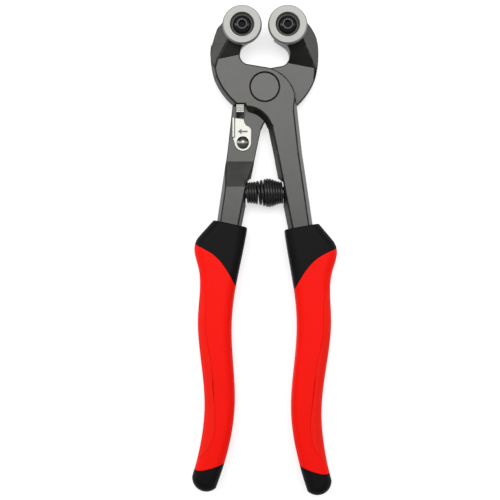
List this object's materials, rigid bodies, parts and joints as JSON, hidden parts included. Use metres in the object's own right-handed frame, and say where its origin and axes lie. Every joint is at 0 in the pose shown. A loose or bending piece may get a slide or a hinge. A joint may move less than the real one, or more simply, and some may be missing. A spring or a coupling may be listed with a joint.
{
  "type": "mosaic glass nippers",
  "caption": "Hand nippers for glass mosaic: forged levers on a flush rivet, round cutting wheels on the jaws, return spring, swinging handle lock and two-colour grips.",
  "frame": {"origin": "on the pivot axis, at the flat back face of the rear lever's lap joint", "axes": "+Y along the tool towards the cutting wheels, +Z out of the front face, +X to the right seen from the front"},
  "size_m": [0.0819, 0.2754, 0.0255],
  "materials": {
    "lever_steel": "satin grey phosphate on forged steel",
    "rivet_steel": "ground flush, satin",
    "carbide": "finely ground tungsten carbide",
    "black_screw": "glossy black oxide",
    "latch_plating": "bright nickel plate",
    "spring_black": "glossy black lacquer",
    "grip_red": "satin moulded",
    "pad_red": "soft satin overmould",
    "grip_black": "matt overmould"
  },
  "bodies": {
    "rear": {"rear_lever": "lever_steel", "pivot_rivet": "rivet_steel", "latch_rivet": "latch_plating", "right_wheel_screw": "black_screw", "left_spring_peg": "rivet_steel", "return_spring": "spring_black", "left_grip_collar": "grip_black", "left_grip_body": "grip_red", "left_palm_pad": "pad_red", "left_grip_end_cap": "grip_black"},
    "front": {"front_lever": "lever_steel", "left_wheel_screw": "black_screw", "right_spring_peg": "rivet_steel", "right_grip_collar": "grip_black", "right_grip_body": "grip_red", "right_palm_pad": "pad_red", "right_grip_end_cap": "grip_black"},
    "latch": {"latch_plate": "latch_plating"},
    "left_wheel": {"left_cutting_wheel": "carbide"},
    "right_wheel": {"right_cutting_wheel": "carbide"}
  },
  "joints": [
    {"name": "jaw_pivot", "type": "hinge", "parent": "rear", "child": "front", "pos_m": [0, 0, 0.0065], "axis": [0, 0, 1], "range_deg": [-5.4, 0], "stiffness_Nm_per_rad": 2, "springref_deg": 8.59, "deforming": ["return_spring"]},
    {"name": "latch_swing", "type": "hinge", "parent": "rear", "child": "latch", "pos_m": [-0.0124, -0.031, 0.00655], "axis": [0, 0, 1], "range_deg": [0, 35]},
    {"name": "left_wheel_index", "type": "hinge", "parent": "front", "child": "left_wheel", "pos_m": [-0.01273, 0.03368, 0.0185], "axis": [0, 0, 1], "continuous": true},
    {"name": "right_wheel_index", "type": "hinge", "parent": "rear", "child": "right_wheel", "pos_m": [0.01273, 0.03368, 0.0185], "axis": [0, 0, 1], "continuous": true}
  ]
}
